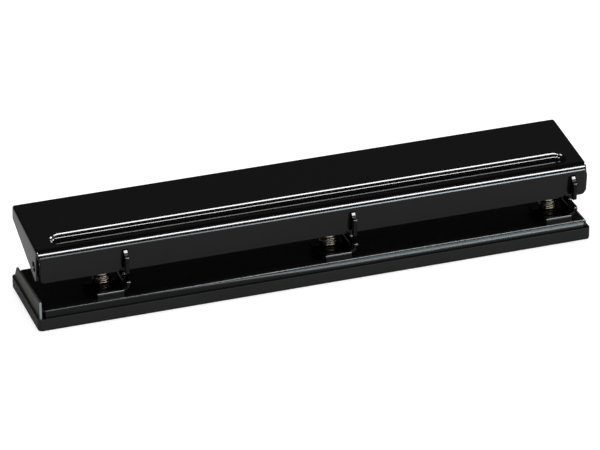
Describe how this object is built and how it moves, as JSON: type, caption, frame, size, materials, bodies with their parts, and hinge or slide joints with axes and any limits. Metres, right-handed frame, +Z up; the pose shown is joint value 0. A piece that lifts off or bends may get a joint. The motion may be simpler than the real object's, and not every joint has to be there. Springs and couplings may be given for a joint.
{
  "type": "three-hole punch",
  "caption": "Desk punch for letter paper: a long hinged steel handle over sprung punch heads on a slotted base plate, with an edge guide and a pull-off chip tray.",
  "frame": {"origin": "middle of the chip tray's underside", "axes": "+X along the length, away from the edge guide; +Y to the side where the paper goes in; +Z up"},
  "size_m": [0.2664, 0.0498, 0.0395],
  "materials": {
    "black_enamel": "gloss",
    "head_enamel": "gloss",
    "tray_plastic": "matt",
    "bright_steel": "bright",
    "spring_steel": "drawn wire"
  },
  "bodies": {
    "tray": {"chip_tray": "tray_plastic"},
    "frame": {"base_plate": "black_enamel", "edge_guide": "black_enamel", "head_bracket_left": "head_enamel", "head_bracket_middle": "head_enamel", "head_bracket_right": "head_enamel", "pin_spring_left": "spring_steel", "pin_spring_middle": "spring_steel", "pin_spring_right": "spring_steel"},
    "handle": {"handle": "black_enamel", "press_rod": "bright_steel", "rod_retainer_left": "bright_steel", "rod_retainer_right": "bright_steel", "rod_saddle_left": "black_enamel", "rod_saddle_middle": "black_enamel", "rod_saddle_right": "black_enamel"},
    "pin_left": {"punch_pin_left": "bright_steel", "spring_clip_left": "bright_steel"},
    "pin_middle": {"punch_pin_middle": "bright_steel", "spring_clip_middle": "bright_steel"},
    "pin_right": {"punch_pin_right": "bright_steel", "spring_clip_right": "bright_steel"}
  },
  "joints": [
    {"name": "tray_release", "type": "slide", "parent": "tray", "child": "frame", "axis": [0, 0, 1], "range_m": [0, 0.012]},
    {"name": "handle_press", "type": "hinge", "parent": "frame", "child": "handle", "pos_m": [0, -0.01416, 0.02184], "axis": [1, 0, 0], "range_deg": [-29, 0], "stiffness_Nm_per_rad": 0.25, "springref_deg": 25.78},
    {"name": "pin_slide_left", "type": "slide", "parent": "frame", "child": "pin_left", "axis": [0, 0, 1], "range_m": [-0.0029, 0], "deforming": ["pin_spring_left"]},
    {"name": "pin_slide_middle", "type": "slide", "parent": "frame", "child": "pin_middle", "axis": [0, 0, 1], "range_m": [-0.0029, 0], "deforming": ["pin_spring_middle"]},
    {"name": "pin_slide_right", "type": "slide", "parent": "frame", "child": "pin_right", "axis": [0, 0, 1], "range_m": [-0.0029, 0], "deforming": ["pin_spring_right"]}
  ],
  "couplings": [
    {"joint": "pin_slide_left", "follows": "handle_press", "m_per_rad": 0.005604},
    {"joint": "pin_slide_middle", "follows": "handle_press", "m_per_rad": 0.005604},
    {"joint": "pin_slide_right", "follows": "handle_press", "m_per_rad": 0.005604}
  ]
}
